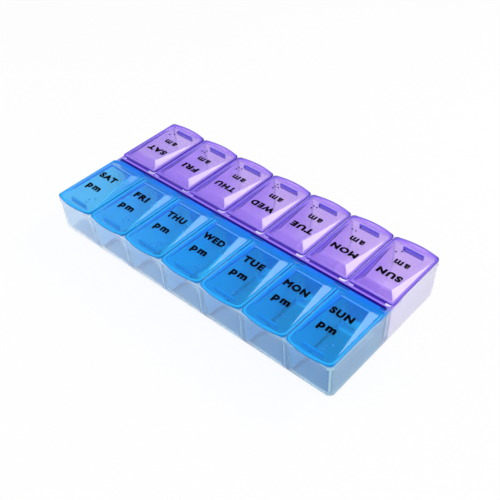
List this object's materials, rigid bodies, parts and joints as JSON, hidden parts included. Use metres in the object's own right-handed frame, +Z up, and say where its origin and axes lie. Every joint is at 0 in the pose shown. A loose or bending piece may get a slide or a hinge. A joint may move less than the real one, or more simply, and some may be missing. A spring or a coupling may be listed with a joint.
{
  "type": "pill organizer",
  "caption": "Weekly pill organizer: a clear tray of cells for mornings and evenings, with a flip lid over every cell on a living hinge along the middle.",
  "frame": {"origin": "under the middle of the tray, on the surface it stands on", "axes": "+X along the tray from Saturday to Sunday, +Y from the evening row to the morning row, +Z up out of the cells"},
  "size_m": [0.2104, 0.1024, 0.0351],
  "materials": {
    "clear_tray": "clear, faintly frosted",
    "blue_lids": "translucent blue",
    "violet_lids": "translucent violet"
  },
  "bodies": {
    "base": {"tray": "clear_tray", "pm_hinge_strip": "blue_lids", "am_hinge_strip": "violet_lids"},
    "pm_lid_sat": {"pm_lid_sat": "blue_lids"},
    "pm_lid_fri": {"pm_lid_fri": "blue_lids"},
    "pm_lid_thu": {"pm_lid_thu": "blue_lids"},
    "pm_lid_wed": {"pm_lid_wed": "blue_lids"},
    "pm_lid_tue": {"pm_lid_tue": "blue_lids"},
    "pm_lid_mon": {"pm_lid_mon": "blue_lids"},
    "pm_lid_sun": {"pm_lid_sun": "blue_lids"},
    "am_lid_sat": {"am_lid_sat": "violet_lids"},
    "am_lid_fri": {"am_lid_fri": "violet_lids"},
    "am_lid_thu": {"am_lid_thu": "violet_lids"},
    "am_lid_wed": {"am_lid_wed": "violet_lids"},
    "am_lid_tue": {"am_lid_tue": "violet_lids"},
    "am_lid_mon": {"am_lid_mon": "violet_lids"},
    "am_lid_sun": {"am_lid_sun": "violet_lids"}
  },
  "joints": [
    {"name": "pm_lid_sat_hinge", "type": "hinge", "parent": "base", "child": "pm_lid_sat", "pos_m": [-0.09, -0.00285, 0.0319], "axis": [1, 0, 0], "range_deg": [-110, 0]},
    {"name": "pm_lid_fri_hinge", "type": "hinge", "parent": "base", "child": "pm_lid_fri", "pos_m": [-0.06, -0.00285, 0.0319], "axis": [1, 0, 0], "range_deg": [-110, 0]},
    {"name": "pm_lid_thu_hinge", "type": "hinge", "parent": "base", "child": "pm_lid_thu", "pos_m": [-0.03, -0.00285, 0.0319], "axis": [1, 0, 0], "range_deg": [-110, 0]},
    {"name": "pm_lid_wed_hinge", "type": "hinge", "parent": "base", "child": "pm_lid_wed", "pos_m": [0, -0.00285, 0.0319], "axis": [1, 0, 0], "range_deg": [-110, 0]},
    {"name": "pm_lid_tue_hinge", "type": "hinge", "parent": "base", "child": "pm_lid_tue", "pos_m": [0.03, -0.00285, 0.0319], "axis": [1, 0, 0], "range_deg": [-110, 0]},
    {"name": "pm_lid_mon_hinge", "type": "hinge", "parent": "base", "child": "pm_lid_mon", "pos_m": [0.06, -0.00285, 0.0319], "axis": [1, 0, 0], "range_deg": [-110, 0]},
    {"name": "pm_lid_sun_hinge", "type": "hinge", "parent": "base", "child": "pm_lid_sun", "pos_m": [0.09, -0.00285, 0.0319], "axis": [1, 0, 0], "range_deg": [-110, 0]},
    {"name": "am_lid_sat_hinge", "type": "hinge", "parent": "base", "child": "am_lid_sat", "pos_m": [-0.09, 0.00285, 0.0319], "axis": [1, 0, 0], "range_deg": [0, 110]},
    {"name": "am_lid_fri_hinge", "type": "hinge", "parent": "base", "child": "am_lid_fri", "pos_m": [-0.06, 0.00285, 0.0319], "axis": [1, 0, 0], "range_deg": [0, 110]},
    {"name": "am_lid_thu_hinge", "type": "hinge", "parent": "base", "child": "am_lid_thu", "pos_m": [-0.03, 0.00285, 0.0319], "axis": [1, 0, 0], "range_deg": [0, 110]},
    {"name": "am_lid_wed_hinge", "type": "hinge", "parent": "base", "child": "am_lid_wed", "pos_m": [0, 0.00285, 0.0319], "axis": [1, 0, 0], "range_deg": [0, 110]},
    {"name": "am_lid_tue_hinge", "type": "hinge", "parent": "base", "child": "am_lid_tue", "pos_m": [0.03, 0.00285, 0.0319], "axis": [1, 0, 0], "range_deg": [0, 110]},
    {"name": "am_lid_mon_hinge", "type": "hinge", "parent": "base", "child": "am_lid_mon", "pos_m": [0.06, 0.00285, 0.0319], "axis": [1, 0, 0], "range_deg": [0, 110]},
    {"name": "am_lid_sun_hinge", "type": "hinge", "parent": "base", "child": "am_lid_sun", "pos_m": [0.09, 0.00285, 0.0319], "axis": [1, 0, 0], "range_deg": [0, 110]}
  ]
}
